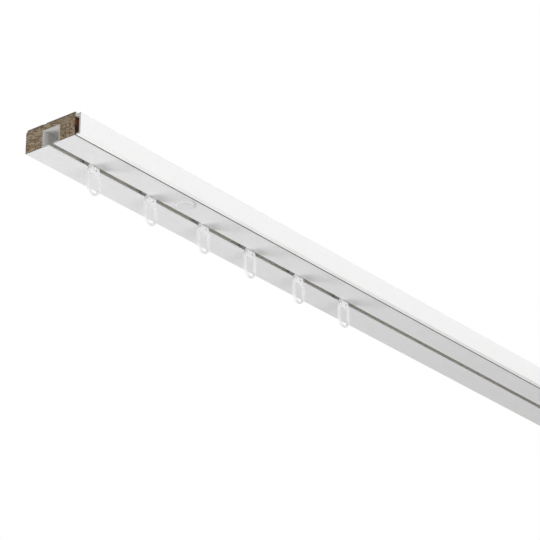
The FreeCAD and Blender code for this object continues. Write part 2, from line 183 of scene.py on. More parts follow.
def blend(
    tree: Tree,
    colour: Socket,
    other: Socket,
    axis: str,
    span: tuple[float, float],
    strength: float = 1.0,
) -> Socket:
    """Lets one colour pass into another over a span of the object.

    Args:
        tree: The material's node tree.
        colour: The colour before the span.
        other: The colour after it.
        axis: The axis that it runs along: "X", "Y" or "Z".
        span: Where it begins and where it ends, in metres.
        strength: How much of the other colour shows at its end.

    Returns:
        The blended colour.
    """
    place = add_node(tree, "ShaderNodeTexCoord")
    axes = add_node(tree, "ShaderNodeSeparateXYZ", links={"Vector": place.outputs["Object"]})
    begin, end = span
    limits = {"From Min": begin, "From Max": end, "To Max": strength}
    passed = add_node(
        tree,
        "ShaderNodeMapRange",
        {"interpolation_type": "SMOOTHSTEP", **limits},
        {"Value": axes.outputs[axis]},
    )
    mixed = add_node(
        tree,
        "ShaderNodeMix",
        {"data_type": "RGBA"},
        {MIX_FACTOR: passed.outputs["Result"], MIX_FIRST: colour, MIX_SECOND: other},
    )
    return mixed.outputs[MIX_RESULT]


def plain(tree: Tree, colour: str) -> Socket:
    """Gives one hex colour as the output of a node."""
    source = add_node(tree, "ShaderNodeRGB")
    source.outputs["Color"].default_value = linear(colour)
    return source.outputs["Color"]


@dataclass(frozen=True)
class Finish:
    """What every finish has: the material's name, its base colour and its gloss."""

    name: str
    colour: str
    roughness: float
    ior: float = 1.5

    def material(self) -> bpy.types.Material:
        """Builds the material, with the constants on the shader's own sockets."""
        material = bpy.data.materials.new(self.name)
        material.use_nodes = True
        tree = material.node_tree
        tree.nodes.clear()
        shader = add_node(
            tree,
            "ShaderNodeBsdfPrincipled",
            {"Base Color": linear(self.colour), "Roughness": self.roughness, "IOR": self.ior},
        )
        add_node(tree, "ShaderNodeOutputMaterial", links={"Surface": shader.outputs["BSDF"]})
        self.detail(tree, shader)
        return material

    def detail(self, tree: Tree, shader: Node) -> None:
        """Adds what the finish shows up close.

        Args:
            tree: The material's node tree.
            shader: Its Principled shader.
        """
        raise NotImplementedError

    def tint(self, tree: Tree, shader: Node, pattern: Socket, other: str) -> Socket:
        """Lets the colour wander a little towards another.

        Args:
            tree: The material's node tree.
            shader: Its Principled shader.
            pattern: How far towards the other colour, from 0 to 1.
            other: The other colour in hex.

        Returns:
            The wandering colour.
        """
        ramp = add_node(
            tree,
            "ShaderNodeValToRGB",
            {"stops": ((0.3, self.colour), (0.7, other))},
            {"Fac": pattern},
        )
        tree.links.new(ramp.outputs["Color"], shader.inputs["Base Color"])
        return ramp.outputs["Color"]


@dataclass(frozen=True)
class Chipboard(Finish):
    """Raw particle board, sawn: flat chips in several browns with dark pores between them.

    Sizes are millimetres. Each glue has its reach into the board and its strength.
    """

    chip_length: float = 2.4
    chip_thickness: float = 0.85
    sliver: float = 0.4
    pore_size: float = 1.9
    fibre: float = 0.28
    relief_depth: float = 0.12
    bend: float = 0.9
    sliver_share: float = 0.45
    browns: tuple[tuple[float, str], ...] = (
        (0.12, "#5a4732"),
        (0.3, "#7f6d53"),
        (0.5, "#9b8b72"),
        (0.7, "#aea18b"),
        (0.9, "#cdc2a9"),
    )
    fibre_share: float = 0.6
    pore_colour: str = "#44291a"
    pore_rim: tuple[float, float] = (0.58, 0.65)
    cloud: float = 6.0
    cloud_colour: str = "#dcd5cb"
    glue_colour: str = "#1d130d"
    foil_glue: tuple[float, float] = (0.5, 0.7)
    backing_glue: tuple[float, float] = (1.1, 0.45)
    # Painted shade: the front edge lies in the hollow behind the fascia and is drawn in dark mottled
    # browns
    painted_shade_front_colours: tuple[str, str] = ("#361c12", "#7a4526")
    front_depth: float = 0.12
    # Painted shade: a grey band at the foot of the front edge, seen through the gap under the
    # fascia's lip
    gap_shade_colour: str = "#7f7e7b"
    gap_shade_rim: tuple[float, float] = (0.8, 1.2)

    def detail(self, tree: Tree, shader: Node) -> None:
        """Draws flat chips, each in its own brown, the dark glued skins, and painted shade on the
        front edge.
        """
        mixed = add_node(
            tree,
            "ShaderNodeMix",
            {"data_type": "RGBA", MIX_FACTOR: self.sliver_share},
            {MIX_FIRST: self.chips(tree, 1.0), MIX_SECOND: self.chips(tree, self.sliver)},
        )
        tone = add_node(
            tree, "ShaderNodeSeparateColor", links={"Color": mixed.outputs[MIX_RESULT]}
        )
        browns = add_node(
            tree, "ShaderNodeValToRGB", {"stops": self.browns}, {"Fac": tone.outputs["Red"]}
        )
        grain = pattern_space(tree, (self.fibre * 5, self.fibre * 5, self.fibre))
        fibres = add_node(
            tree, "ShaderNodeTexNoise", {"Scale": 1.0, "Detail": 4.0}, {"Vector": grain}
        )
        shade = add_node(
            tree,
            "ShaderNodeValToRGB",
            {"stops": ((0.25, "#a39a90"), (0.62, "#ffffff"))},
            {"Fac": fibres.outputs["Fac"]},
        )
        chipped = add_node(
            tree,
            "ShaderNodeMix",
            {"data_type": "RGBA", "blend_type": "MULTIPLY", MIX_FACTOR: self.fibre_share},
            {MIX_FIRST: browns.outputs["Color"], MIX_SECOND: shade.outputs["Color"]},
        )
        spread = pattern_space(tree, (self.pore_size, self.pore_size, self.pore_size * 0.5))
        holes = add_node(
            tree, "ShaderNodeTexNoise", {"Scale": 1.0, "Detail": 2.5}, {"Vector": spread}
        )
        inside, outside = self.pore_rim
        pores = add_node(
            tree,
            "ShaderNodeMapRange",
            {"From Min": inside, "From Max": outside},
            {"Value": holes.outputs["Fac"]},
        )
        pored = add_node(
            tree,
            "ShaderNodeMix",
            {"data_type": "RGBA", MIX_SECOND: linear(self.pore_colour)},
            {MIX_FACTOR: pores.outputs["Result"], MIX_FIRST: chipped.outputs[MIX_RESULT]},
        )
        patches = add_node(
            tree,
            "ShaderNodeTexNoise",
            {"Scale": 1.0, "Detail": 1.0},
            {"Vector": pattern_space(tree, (self.cloud, self.cloud, self.cloud * 0.7))},
        )
        shaded = linear(self.cloud_colour)
        clouded = add_node(
            tree,
            "ShaderNodeMix",
            {"data_type": "RGBA", "blend_type": "MULTIPLY", MIX_SECOND: shaded},
            {MIX_FACTOR: patches.outputs["Fac"], MIX_FIRST: pored.outputs[MIX_RESULT]},
        )
        skins_and_shade = self.skins_and_painted_shade(tree, clouded.outputs[MIX_RESULT])
        tree.links.new(skins_and_shade, shader.inputs["Base Color"])
        coarse = relief(tree, shader, tone.outputs["Red"], self.relief_depth)
        relief(tree, shader, fibres.outputs["Fac"], self.relief_depth / 2, coarse)

    def chips(self, tree: Tree, share: float) -> Socket:
        """Gives every chip of one size a colour of its own.

        Args:
            tree: The material's node tree.
            share: The chips' size as a share of the largest.

        Returns:
            The random colours.
        """
        length, thickness = self.chip_length * share, self.chip_thickness * share
        place = pattern_space(tree, (length, length, thickness))
        wander = add_node(
            tree, "ShaderNodeTexNoise", {"Scale": 0.8, "Detail": 3.0}, {"Vector": place}
        )
        bent = add_node(
            tree,
            "ShaderNodeVectorMath",
            {"operation": "MULTIPLY_ADD", 1: (self.bend,) * 3},
            {0: wander.outputs["Color"], 2: place},
        )
        cells = add_node(
            tree, "ShaderNodeTexVoronoi", {"Scale": 1.0}, {"Vector": bent.outputs["Vector"]}
        )
        return cells.outputs["Color"]

    def skins_and_painted_shade(self, tree: Tree, colour: Socket) -> Socket:
        """Darkens the glued faces under the foil and the backing, and paints shade on the board's
        front edge.

        Args:
            tree: The material's node tree.
            colour: The chips' colour.

        Returns:
            The colour with the dark glued skins and the painted shade on the front edge.
        """
        low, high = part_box("chipboard_core")
        glue, gap_shade = plain(tree, self.glue_colour), plain(tree, self.gap_shade_colour)
        reach, strength = self.foil_glue
        colour = blend(tree, colour, glue, "Z", (low.z + reach * MM, low.z), strength)
        reach, strength = self.backing_glue
        colour = blend(tree, colour, glue, "Z", (high.z - reach * MM, high.z), strength)
        front_shade_mottle = add_node(
            tree,
            "ShaderNodeTexNoise",
            {"Scale": 1.0, "Detail": 2.0},
            {"Vector": pattern_space(tree, (self.cloud, self.cloud, self.cloud * 0.7))},
        )
        # Painted shade: the front edge in the fascia's hollow, mottled between two dark browns
        dark, light = self.painted_shade_front_colours
        painted_shade_front = add_node(
            tree,
            "ShaderNodeValToRGB",
            {"stops": ((0.42, dark), (0.6, light))},
            {"Fac": front_shade_mottle.outputs["Fac"]},
        )
        # Painted shade: a grey band at the front edge's foot, seen through the gap under the
        # fascia's lip
        begin, end = (low.z + level * MM for level in self.gap_shade_rim)
        front = blend(tree, gap_shade, painted_shade_front.outputs["Color"], "Z", (begin, end))
        return blend(tree, colour, front, "Y", (low.y + self.front_depth * MM, low.y))


@dataclass(frozen=True)
class BackingPaper(Finish):
    """Resin-soaked kraft paper: dull, dark brown, with a cloudy fibre."""

    cloud: float = 9.0
    fibre: float = 0.6
    other: str = "#574b45"
    felt_depth: float = 0.06

    def detail(self, tree: Tree, shader: Node) -> None:
        """Draws clouds of darker paper and a fine felt of fibres."""
        clouds = add_node(
            tree,
            "ShaderNodeTexNoise",
            {"Scale": 1.0, "Detail": 5.0},
            {"Vector": pattern_space(tree, (self.cloud * 2, self.cloud, self.cloud))},
        )
        self.tint(tree, shader, clouds.outputs["Fac"], self.other)
        felt = add_node(
            tree,
            "ShaderNodeTexNoise",
            {"Scale": 1.0, "Detail": 3.0},
            {"Vector": pattern_space(tree, (self.fibre * 4, self.fibre, self.fibre))},
        )
        relief(tree, shader, felt.outputs["Fac"], self.felt_depth)


@dataclass(frozen=True)
class DecorFoil(Finish):
    """White decor foil: satin, with the board's chips telegraphing faintly through it."""

    swell: float = 6.0
    swell_depth: float = 0.03
    grit: float = 0.45
    grit_depth: float = 0.006
    other: str = "#dfdfe0"

    def detail(self, tree: Tree, shader: Node) -> None:
        """Draws a shallow swell from the board below and the foil's own fine emboss."""
        swell = add_node(
            tree,
            "ShaderNodeTexNoise",
            {"Scale": 1.0, "Detail": 2.0},
            {"Vector": pattern_space(tree, (self.swell * 2, self.swell, self.swell))},
        )
        grit = add_node(
            tree,
            "ShaderNodeTexNoise",
            {"Scale": 1.0, "Detail": 2.0},
            {"Vector": pattern_space(tree, (self.grit,) * 3)},
        )
        self.tint(tree, shader, swell.outputs["Fac"], self.other)
        coarse = relief(tree, shader, swell.outputs["Fac"], self.swell_depth)
        relief(tree, shader, grit.outputs["Fac"], self.grit_depth, coarse)


@dataclass(frozen=True)
class ExtrudedPlastic(Finish):
    """Extruded PVC: smooth, with faint lines from the die and darker, rough sawn ends."""

    node: str = "fascia"
    line: float = 0.7
    run: float = 700.0
    other: str = "#e7e8e8"
    sawn: str = "#b4b6b1"
    depth: float = 0.005
    gloss_span: tuple[float, float] = (0.8, 1.25)
    saw_reach: tuple[float, float] = (0.1, 0.05)

    def detail(self, tree: Tree, shader: Node) -> None:
        """Draws the die lines along X, in the relief and in the gloss, the darker sawn ends, and any
        painted light or shade.
        """
        lines = add_node(
            tree,
            "ShaderNodeTexNoise",
            {"Scale": 1.0, "Detail": 3.0},
            {"Vector": pattern_space(tree, (self.run, self.line, self.line))},
        )
        least, most = (self.roughness * share for share in self.gloss_span)
        gloss = add_node(
            tree,
            "ShaderNodeMapRange",
            {"To Min": least, "To Max": most},
            {"Value": lines.outputs["Fac"]},
        )
        tree.links.new(gloss.outputs["Result"], shader.inputs["Roughness"])
        colour = self.tint(tree, shader, lines.outputs["Fac"], self.other)
        tree.links.new(self.sawn_ends_and_painted_light(tree, colour), shader.inputs["Base Color"])
        relief(tree, shader, lines.outputs["Fac"], self.depth)

    def sawn_ends_and_painted_light(self, tree: Tree, colour: Socket) -> Socket:
        """Darkens the rough saw cut on both ends of the extrusion.

        Args:
            tree: The material's node tree.
            colour: The plastic's colour.

        Returns:
            The colour with the darker ends.
        """
        low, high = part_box(self.node)
        cut = plain(tree, self.sawn)
        begin, end = (reach * MM for reach in self.saw_reach)
        colour = blend(tree, colour, cut, "X", (low.x + begin, low.x + end))
        return blend(tree, colour, cut, "X", (high.x - begin, high.x - end))


@dataclass(frozen=True)
class ChannelPlastic(ExtrudedPlastic):
    """The running channel's PVC, with painted light inside above its lips and painted shade near the
    open end.
    """

    node: str = "running_channel"
    # Painted light: the inside is a whiter copy of the lips' plastic. Painted shade darkens it near
    # the open end
    inside: str = "#f8f6f0"
    painted_shade_colour: str = "#c9c8c6"
    painted_shade_reach: float = 30.0
    lip_rim: tuple[float, float] = (0.9, 1.1)

    def sawn_ends_and_painted_light(self, tree: Tree, colour: Socket) -> Socket:
        """Draws the inside above the lips whiter, as painted light, and darker near the open end, as
        painted shade.
        """
        low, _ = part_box(self.node)
        # The whiter inside is painted light, and the darker colour near the open end is painted
        # shade
        painted_light_inside, painted_shade = plain(tree, self.inside), plain(tree, self.painted_shade_colour)
        inside = blend(tree, painted_light_inside, painted_shade, "X", (low.x + self.painted_shade_reach * MM, low.x))
        begin, end = (low.z + level * MM for level in self.lip_rim)
        colour = blend(tree, colour, inside, "Z", (begin, end))
        return super().sawn_ends_and_painted_light(tree, colour)


@dataclass(frozen=True)
class MouldedPlastic(Finish):
    """Injection-moulded plastic: white, with a spark-eroded grain and soft flow marks."""

    grain: float = 0.32
    grain_depth: float = 0.003
    flow: float = 4.0
    other: str = "#e2e2e0"
    milkiness: float = 0.0
    scatter: float = 0.8

    def detail(self, tree: Tree, shader: Node) -> None:
        """Draws the flow marks and the grain, and lets light into a milky plastic."""
        shader.inputs["Subsurface Weight"].default_value = self.milkiness
        shader.inputs["Subsurface Radius"].default_value = (1.0, 1.0, 1.0)
        shader.inputs["Subsurface Scale"].default_value = self.scatter * MM
        flow = add_node(
            tree,
            "ShaderNodeTexNoise",
            {"Scale": 1.0, "Detail": 2.0, "Distortion": 0.6},
            {"Vector": pattern_space(tree, (self.flow,) * 3)},
        )
        # The real grain is about 0.03 mm, too fine to show, so it is drawn ten times as coarse
        grain = add_node(
            tree,
            "ShaderNodeTexNoise",
            {"Scale": 1.0, "Detail": 2.0},
            {"Vector": pattern_space(tree, (self.grain,) * 3)},
        )
        self.tint(tree, shader, flow.outputs["Fac"], self.other)
        relief(tree, shader, grain.outputs["Fac"], self.grain_depth)


@dataclass(frozen=True)
class ZincPlatedSteel(Finish):
    """Turned steel pin, bright zinc plated: fine rings from turning under a thin grey sheen."""

    ring: float = 0.12
    ring_depth: float = 0.01
    blotch: float = 1.5
    gloss_span: tuple[float, float] = (0.6, 1.6)
    other: str = "#b4b6b8"

    def detail(self, tree: Tree, shader: Node) -> None:
        """Draws the turning rings across the pin and a blotchy gloss."""
        shader.inputs["Metallic"].default_value = 1.0
        rings = add_node(
            tree,
            "ShaderNodeTexNoise",
            {"Scale": 1.0, "Detail": 1.0},
            {"Vector": pattern_space(tree, (self.ring * 20, self.ring, self.ring * 20))},
        )
        blotches = add_node(
            tree,
            "ShaderNodeTexNoise",
            {"Scale": 1.0, "Detail": 3.0},
            {"Vector": pattern_space(tree, (self.blotch,) * 3)},
        )
        least, most = (self.roughness * share for share in self.gloss_span)
        gloss = add_node(
            tree,
            "ShaderNodeMapRange",
            {"To Min": least, "To Max": most},
            {"Value": blotches.outputs["Fac"]},
        )
        tree.links.new(gloss.outputs["Result"], shader.inputs["Roughness"])
        self.tint(tree, shader, blotches.outputs["Fac"], self.other)
        relief(tree, shader, rings.outputs["Fac"], self.ring_depth)


@dataclass(frozen=True)
class PaleFloor(Finish):
    """The studio's pale floor: matt, with a very slight cloud, and clear when seen from below."""

    cloud: float = 300.0
    other: str = "#e6e6e4"

    def detail(self, tree: Tree, shader: Node) -> None:
        """Draws the cloud, and clears the floor's back so that it never hides the track."""
        place = pattern_space(tree, (self.cloud,) * 3)
        cloud = add_node(tree, "ShaderNodeTexNoise", {"Scale": 1.0}, {"Vector": place})
        self.tint(tree, shader, cloud.outputs["Fac"], self.other)
        side = add_node(tree, "ShaderNodeNewGeometry")
        clear = add_node(tree, "ShaderNodeBsdfTransparent")
        behind = side.outputs["Backfacing"]
        front, back = shader.outputs["BSDF"], clear.outputs["BSDF"]
        shown = add_node(tree, "ShaderNodeMixShader", links={0: behind, 1: front, 2: back})
        tree.links.new(shown.outputs["Shader"], tree.get_output_node("ALL").inputs["Surface"])


class Stock(Enum):
    """Every finish on the object, under the record's name for its slot."""

    CHIPBOARD = "chipboard"
    BACKING = "backing"
    FOIL = "foil"
    CHANNEL = "channel_plastic"
    FASCIA = "fascia_plastic"
    CAP = "cap_plastic"
    CARRIER = "carrier_plastic"
    WHEEL = "wheel_plastic"
    AXLE = "axle_steel"


Materials = Mapping[Stock, bpy.types.Material]

FINISHES: dict[Stock, Finish] = {
    # Sawn particle board: a salt and pepper of browns that gives the end its rough look
    Stock.CHIPBOARD: Chipboard("particle_board_sawn", "#9b8b72", 0.85),
    # Brown backing paper: a dull dark line above the chips
    Stock.BACKING: BackingPaper("kraft_backing_paper", "#6b605b", 0.8),
    # Decor foil pressed on the board: an even satin white
    Stock.FOIL: DecorFoil("decor_foil_satin_white", "#e2e2e3", 0.5),
    # Extruded PVC channel: a matt white between the foils, barely set off from them
    Stock.CHANNEL: ChannelPlastic(
        "pvc_extruded_white", "#e2e2e3", 0.45, other="#e0e0e1", sawn="#b4b4b2"
    ),
    # Extruded PVC fascia: a brighter, glossier white with long soft highlights
    Stock.FASCIA: ExtrudedPlastic(
        "pvc_extruded_satin_gloss", "#f5f5f5", 0.34, other="#f4f4f4", sawn="#aeb1aa"
    ),
    # Polyethylene cap: a waxy white disc
    Stock.CAP: MouldedPlastic(
        "polyethylene_moulded_white", "#dfdfe0", 0.5, other="#dbdbdc", milkiness=0.15
    ),
    # Unfilled nylon: a clean white that light enters a little, so that its edges look soft
    Stock.CARRIER: MouldedPlastic(
        "nylon_moulded_white", "#e5e5e6", 0.5, other="#e2e2e3", milkiness=0.15
    ),
    # Acetal wheel: dense smooth white
    Stock.WHEEL: MouldedPlastic(
        "acetal_moulded_white", "#f8f8f6", 0.35, other="#f4f4f2", milkiness=0.15
    ),
    # Zinc-plated pin: small bright heads in the wheels' hubs
    Stock.AXLE: ZincPlatedSteel("steel_pin_zinc_plated", "#c8cacc", 0.3),
}


def start_mesh(name: str) -> Piece:
    """Names the primitive that was just added and settles its size and turn into its mesh."""
    piece = bpy.context.object
    piece.name = name
    piece.data.name = name
    bpy.ops.object.transform_apply(location=True, rotation=True, scale=True)
    return piece


def choose(piece: Piece) -> None:
    """Makes a piece the only selected and the active object."""
    if bpy.context.object and bpy.context.object.mode != "OBJECT":
        bpy.ops.object.mode_set(mode="OBJECT")
    bpy.ops.object.select_all(action="DESELECT")
    piece.select_set(True)
    bpy.context.view_layer.objects.active = piece


def edit_all(piece: Piece) -> None:
    """Opens a piece in edit mode with all of it selected."""
    choose(piece)
    bpy.ops.object.mode_set(mode="EDIT")
    bpy.ops.mesh.select_all(action="SELECT")


def pick_faces(piece: Piece, wanted: Callable[[Vector, Vector], bool]) -> None:
    """Selects faces in edit mode.

    Args:
        piece: The mesh object.
        wanted: Says of a face's centre and normal whether it is wanted.
    """
    choose(piece)
    mesh = piece.data
    for item in (*mesh.vertices, *mesh.edges):
        item.select = False
    for face in mesh.polygons:
        face.select = wanted(face.center, face.normal)
    bpy.context.tool_settings.mesh_select_mode = (False, False, True)
    bpy.ops.object.mode_set(mode="EDIT")


def pick_edges(piece: Piece, wanted: Callable[[Vector, Vector], bool]) -> None:
    """Selects edges in edit mode.

    Args:
        piece: The mesh object.
        wanted: Says of an edge's middle and direction whether it is wanted.
    """
    choose(piece)
    mesh = piece.data
    for item in (*mesh.vertices, *mesh.polygons):
        item.select = False
    for edge in mesh.edges:
        start, end = (mesh.vertices[index].co for index in edge.vertices)
        edge.select = wanted((start + end) / 2, (end - start).normalized())
    bpy.context.tool_settings.mesh_select_mode = (False, True, False)
    bpy.ops.object.mode_set(mode="EDIT")


def extrude(offset: Sequence[float]) -> None:
    """Extrudes what is selected by an offset."""
    bpy.ops.mesh.extrude_region_move(TRANSFORM_OT_translate={"value": tuple(offset)})


def apply_modifier(piece: Piece, kind: str, settings: Mapping[str, object]) -> None:
    """Adds a modifier to a piece and applies it.

    Args:
        piece: The mesh object.
        kind: The modifier's type.
        settings: Its properties.
    """
    choose(piece)
    modifier = piece.modifiers.new(kind.lower(), kind)
    for key, value in settings.items():
        setattr(modifier, key, value)
    bpy.ops.object.modifier_apply(modifier=modifier.name)


def round_edges(piece: Piece, width: float, segments: int, angle: float = 0.9) -> None:
    """Rounds the edges of a piece that turn by more than an angle.

    Args:
        piece: The mesh object.
        width: The radius.
        segments: How many steps it is drawn with.
        angle: The least turn, in radians.
    """
    limits = {"limit_method": "ANGLE", "angle_limit": angle}
    apply_modifier(piece, "BEVEL", {"width": width, "segments": segments, **limits})


def combine(piece: Piece, tool: Piece, operation: str) -> None:
    """Joins a second solid to a piece or cuts it away, and deletes the second solid.

    Args:
        piece: The mesh object that stays.
        tool: The solid that is joined or cut away.
        operation: "UNION" or "DIFFERENCE".
    """
    apply_modifier(
        piece, "BOOLEAN", {"operation": operation, "object": tool, "solver": "EXACT"}
    )
    bpy.data.objects.remove(tool)


def polish(piece: Piece, angle: float = 40.0) -> None:
    """Closes seams, turns faces outwards and shades a finished piece smooth up to an angle."""
    edit_all(piece)
    bpy.ops.mesh.remove_doubles(threshold=WELD)
    bpy.ops.mesh.normals_make_consistent(inside=False)
    bpy.ops.object.mode_set(mode="OBJECT")
    bpy.ops.object.shade_smooth_by_angle(angle=math.radians(angle))
    apply_modifier(piece, "WEIGHTED_NORMAL", {"weight": 80, "keep_sharp": True})


def add_drum(
    name: str, radius: float, length: float, place: Sequence[float] = (0, 0, 0), sides: int = 64
) -> Piece:
    """Adds a solid drum that lies along Y.

    Args:
        name: The object's name.
        radius: Its radius.
        length: Its length along Y.
        place: Its middle.
        sides: How many sides it is drawn with.

    Returns:
        The drum.
    """
    bpy.ops.object.select_all(action="DESELECT")
    bpy.ops.mesh.primitive_cylinder_add(
        vertices=sides,
        radius=radius,
        depth=length,
        location=place,
        rotation=(math.radians(90), 0, 0),
    )
    return start_mesh(name)


def add_block(name: str, size: Sequence[float], place: Sequence[float], edge: float) -> Piece:
    """Adds a block with rounded edges.

    Args:
        name: The object's name.
        size: Its size along X, Y and Z.
        place: Its middle.
        edge: The radius of its edges.

    Returns:
        The block.
    """
    bpy.ops.object.select_all(action="DESELECT")
    bpy.ops.mesh.primitive_cube_add(size=1, location=place, scale=size)
    block = start_mesh(name)
    apply_modifier(block, "BEVEL", {"width": edge, "segments": 3, "limit_method": "NONE"})
    return block


def put_in_place(master: Piece, name: str, place: Vector, turned: bool = False) -> Piece:
    """Copies a master, modelled in millimetres, to its place in the frame.

    Args:
        master: The finished shape round its own axes.
        name: The copy's name.
        place: Where its axes go, in metres.
        turned: Whether it faces the other way along Y.

    Returns:
        The copy, whose place is in its own mesh.
    """
    piece = master.copy()
    piece.data = master.data.copy()
    piece.name = name
    piece.data.name = name
    bpy.context.scene.collection.objects.link(piece)
    turn = Matrix.Rotation(math.pi if turned else 0.0, 4, "Z")
    piece.data.transform(Matrix.Translation(place) @ turn @ Matrix.Scale(MM, 4))
    return piece


def dress(
    piece: Piece,
    stock: Stock,
    materials: Materials,
    body: str,
    *nodes: str,
) -> None:
    """Gives a new piece its finish and its body, and hides the solids that it stands for.

    Args:
        piece: The new piece.
        stock: Its finish.
        materials: The built finishes.
        body: The body it rides on.
        *nodes: The solids it replaces.
    """
    piece.data.materials.clear()
    piece.data.materials.append(materials[stock])
    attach(piece, body)
    if nodes:
        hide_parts(*nodes)
    LOG.info("%s: %d faces, %s", piece.name, len(piece.data.polygons), materials[stock].name)


@dataclass
class Carrier:
    """A moulded carrier: loop, sloped shoulders, crossbar, neck and the boss on its pin.

    Sizes are millimetres. Levels count from the pin's axis, down to the loop.
    """

    loop_width: float = 12.8
    loop_thickness: float = 2.0
    loop_bar: float = 1.5
    turn_level: float = -20.4
    window_level: float = -12.1
    crossbar_height: float = 2.6
    crossbar_thickness: float = 3.0
    shoulder_level: float = -9.0
    shoulder_top: float = -6.7
    shoulder_radius: float = 0.9
    neck_length: float = 8.4
    neck_thickness: float = 3.0
    boss_radius: float = 2.3
    boss_width: float = 4.1
    bore_radius: float = 1.05
    eye_radius: float = 0.6
    eye_place: tuple[float, float] = (0.9, -8.4)
    edge: float = 0.4

    def model(self) -> Piece:
        """Models the carrier in one piece."""
        carrier = self.loop()
        for part in (self.crossbar(), self.neck(), self.boss()):
            combine(carrier, part, "UNION")
        through = 4 * self.boss_width
        combine(carrier, add_drum("bore", self.bore_radius, through, sides=32), "DIFFERENCE")
        across, level = self.eye_place
        eye = add_drum("eye", self.eye_radius, through, (across, 0, level), sides=24)
        combine(carrier, eye, "DIFFERENCE")
        polish(carrier)
        return carrier

    def loop(self) -> Piece:
        """Models the flat loop: a half drum pulled up in steps, narrowed at its shoulders."""
        half = self.loop_width / 2
        loop = add_drum("carrier", half, self.loop_thickness, (0, 0, self.turn_level), sides=96)
        edit_all(loop)
        bpy.ops.mesh.bisect(
            plane_co=(0, 0, self.turn_level), plane_no=(0, 0, 1), use_fill=True, clear_outer=True
        )
        pick_faces(loop, lambda centre, normal: normal.z > ALONG)
        level = self.turn_level
        frame_top = self.window_level + self.loop_bar
        for higher in (frame_top, self.shoulder_level, self.shoulder_top):
            extrude((0, 0, higher - level))
            level = higher
        bpy.ops.transform.resize(
            value=(self.neck_length / self.loop_width, 1, 1), center_override=(0, 0, level)
        )
        pick_edges(
            loop,
            lambda middle, along: abs(along.y) > ALONG
            and abs(middle.z - self.shoulder_level) < NEARLY
            and abs(middle.x) > half - NEARLY,
        )
        bpy.ops.mesh.bevel(offset=self.shoulder_radius, segments=6, affect="EDGES")
        self.cut_window(loop, frame_top)
        round_edges(loop, self.edge, 4, math.radians(50))
        return loop

    def cut_window(self, loop: Piece, frame_top: float) -> None:
        """Opens the window, with the same bar on its sides as below it.

        Args:
            loop: The loop's plate.
            frame_top: The level at which the bar's upper edge would be.
        """
        for side in (-1, 1):
            pick_faces(
                loop,
                lambda centre, normal: normal.y * side > ALONG
                and centre.z < frame_top - self.loop_bar,
            )
            bpy.ops.mesh.inset(thickness=self.loop_bar, use_boundary=True, use_even_offset=True)
            bpy.ops.mesh.dissolve_faces()
        inner = self.loop_width / 2 - self.loop_bar
        pick_faces(
            loop,
            lambda centre, normal: abs(normal.y) > ALONG
            and abs(centre.x) < 0.1
            and self.turn_level - inner < centre.z < self.window_level,
        )
        bpy.ops.mesh.bridge_edge_loops()

    def crossbar(self) -> Piece:
        """Models the thick bar over the window."""
        length = self.loop_width - self.loop_bar
        middle = self.window_level + self.crossbar_height / 2
        size = (length, self.crossbar_thickness, self.crossbar_height)
        return add_block("crossbar", size, (0, 0, middle), self.edge)

    def neck(self) -> Piece:
        """Models the neck that passes up through the slot."""
        foot = self.window_level + self.crossbar_height / 2
        size = (self.neck_length, self.neck_thickness, -foot)
        return add_block("neck", size, (0, 0, foot / 2), self.edge / 2)

    def boss(self) -> Piece:
        """Models the boss round the pin."""
        boss = add_drum("boss", self.boss_radius, self.boss_width, sides=48)
        round_edges(boss, self.edge / 2, 2)
        return boss


@dataclass
class Wheel:
    """A plain wheel, which turns about Y and faces away from the carrier, towards +Y.

    Sizes are millimetres.
    """

    radius: float = 4.8
    width: float = 3.2
    start: float = 2.3
    bore_radius: float = 1.05
    edge: float = 0.2

    def model(self) -> Piece:
        """Models the wheel from a drum, whose faces are inset to the bore and joined through it."""
        middle = self.start + self.width / 2
        wheel = add_drum("wheel", self.radius, self.width, (0, middle, 0), sides=80)
        pick_faces(wheel, lambda centre, normal: abs(normal.y) > ALONG)
        bpy.ops.mesh.inset(thickness=self.radius - self.bore_radius)
        bpy.ops.mesh.bridge_edge_loops()
        round_edges(wheel, self.edge, 2)
        polish(wheel)
        return wheel


@dataclass
class CoverCap:
    """A cover cap: a low rounded head under the board and a stem in the screw's bore.

    Sizes are millimetres. Its axis is Z and the board's underside is at zero.
    """

    radius: float = 6.6
    height: float = 1.3
    rim: float = 0.8
    crown: float = 0.12
    ring_share: float = 0.3
    ring_levels: tuple[float, ...] = (0.4, 0.7, 0.9)
    stem_radius: float = 3.95
    stem_length: float = 3.6

    def model(self) -> Piece:
        """Models the cap from a disc: rim rounded, face crowned and stem drawn up."""
        bpy.ops.object.select_all(action="DESELECT")
        bpy.ops.mesh.primitive_cylinder_add(
            vertices=96, radius=self.radius, depth=self.height, location=(0, 0, -self.height / 2)
        )
        cap = start_mesh("cap")
        pick_edges(cap, lambda middle, along: abs(middle.z + self.height) < NEARLY)
        bpy.ops.mesh.bevel(offset=self.rim, segments=6, affect="EDGES")
        pick_faces(cap, lambda centre, normal: normal.z < -ALONG and abs(centre.x) < NEARLY)
        for level in self.ring_levels:
            bpy.ops.mesh.inset(thickness=(self.radius - self.rim) * self.ring_share)
            bpy.ops.transform.translate(value=(0, 0, -self.crown * (1 - level)))
        pick_faces(cap, lambda centre, normal: normal.z > ALONG)
        bpy.ops.mesh.inset(thickness=self.radius - self.stem_radius)
        extrude((0, 0, self.stem_length))
        polish(cap, 35.0)
        return cap


